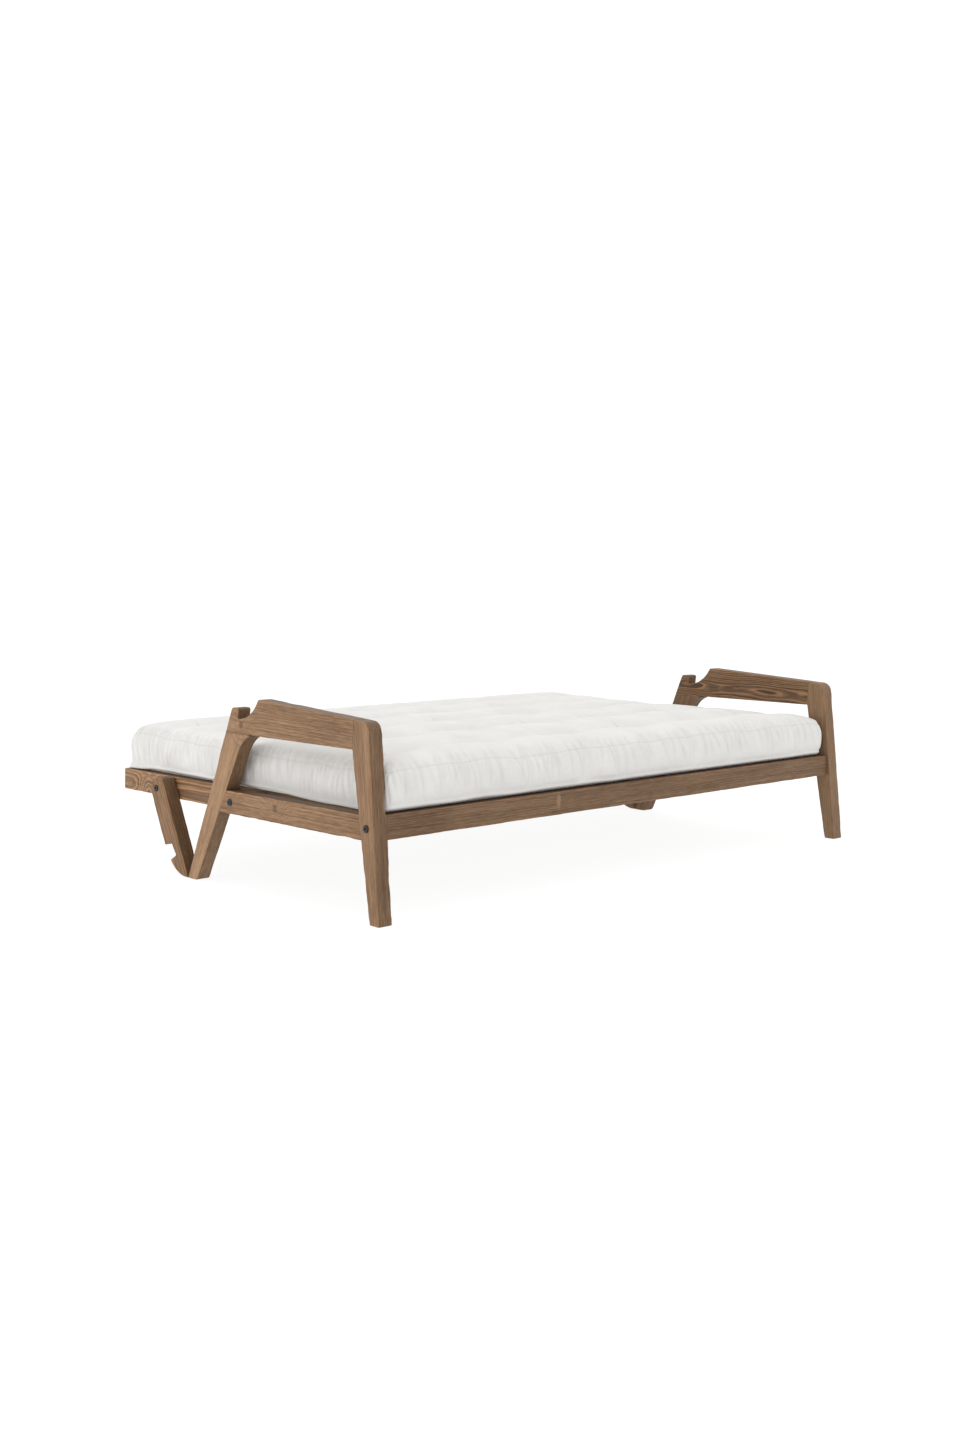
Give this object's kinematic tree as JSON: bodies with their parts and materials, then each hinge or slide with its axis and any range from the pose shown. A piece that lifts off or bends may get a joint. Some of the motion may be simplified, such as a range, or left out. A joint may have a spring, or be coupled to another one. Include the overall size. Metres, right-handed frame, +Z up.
{
  "type": "sofa bed",
  "caption": "Stained pine sofa bed, laid flat: slatted seat and hinged slatted back between two arm frames, hooked side legs that hold the back up, and a tufted cotton mattress.",
  "frame": {"origin": "on the floor, at the middle of the part's footprint in the bed pose", "axes": "+X along the width to the right of someone seated, +Y towards the back, +Z up; the front rail faces -Y"},
  "size_m": [2.0056, 1.3338, 0.5457],
  "materials": {
    "stained_pine": "brushed, brown stain, satin",
    "slat_pine": "planed, clear",
    "dark_steel": "dark, satin",
    "bright_steel": "zinc plated",
    "mattress_cotton": "woven, undyed"
  },
  "bodies": {
    "frame": {"left_front_leg": "stained_pine", "left_arm_rail": "stained_pine", "left_rear_leg": "stained_pine", "left_side_rail": "stained_pine", "right_front_leg": "stained_pine", "right_arm_rail": "stained_pine", "right_rear_leg": "stained_pine", "right_side_rail": "stained_pine", "front_rail": "stained_pine", "seat_rear_rail": "stained_pine", "seat_front_cleat": "slat_pine", "seat_rear_cleat": "slat_pine", "seat_slat_1": "slat_pine", "seat_slat_2": "slat_pine", "seat_slat_3": "slat_pine", "seat_slat_4": "slat_pine", "seat_slat_5": "slat_pine", "seat_slat_6": "slat_pine", "seat_slat_7": "slat_pine", "seat_slat_8": "slat_pine", "left_front_rail_bolt": "dark_steel", "left_rear_rail_bolt": "dark_steel", "right_front_rail_bolt": "dark_steel", "right_rear_rail_bolt": "dark_steel", "left_front_rail_barrel_nut": "bright_steel", "left_rear_rail_barrel_nut": "bright_steel", "right_front_rail_barrel_nut": "bright_steel", "right_rear_rail_barrel_nut": "bright_steel", "left_back_pivot_bolt": "dark_steel", "left_back_pivot_nut": "bright_steel", "left_back_pivot_washer": "bright_steel", "right_back_pivot_bolt": "dark_steel", "right_back_pivot_nut": "bright_steel", "right_back_pivot_washer": "bright_steel", "mattress_seat": "mattress_cotton", "mattress_fold": "mattress_cotton"},
    "backrest": {"left_back_side_rail": "stained_pine", "right_back_side_rail": "stained_pine", "back_lower_rail": "stained_pine", "back_top_rail": "stained_pine", "back_front_cleat": "slat_pine", "back_rear_cleat": "slat_pine", "back_slat_1": "slat_pine", "back_slat_2": "slat_pine", "back_slat_3": "slat_pine", "back_slat_4": "slat_pine", "back_slat_5": "slat_pine", "back_slat_6": "slat_pine", "back_slat_7": "slat_pine", "back_slat_8": "slat_pine", "left_hook_bolt": "dark_steel", "left_hook_nut": "bright_steel", "left_hook_washer": "bright_steel", "right_hook_bolt": "dark_steel", "right_hook_nut": "bright_steel", "right_hook_washer": "bright_steel", "mattress_back": "mattress_cotton"},
    "left_hook": {"left_hook_leg": "stained_pine"},
    "right_hook": {"right_hook_leg": "stained_pine"}
  },
  "joints": [
    {"name": "backrest_hinge", "type": "hinge", "parent": "frame", "child": "backrest", "pos_m": [0, 0.0796, 0.2455], "axis": [1, 0, 0], "range_deg": [0, 72.58], "deforming": ["mattress_fold"]},
    {"name": "left_hook_hinge", "type": "hinge", "parent": "backrest", "child": "left_hook", "pos_m": [-0.977, 0.40056, 0.2455], "axis": [1, 0, 0], "range_deg": [0, 235.54]},
    {"name": "right_hook_hinge", "type": "hinge", "parent": "backrest", "child": "right_hook", "pos_m": [0.977, 0.40056, 0.2455], "axis": [1, 0, 0], "range_deg": [0, 235.54]}
  ]
}
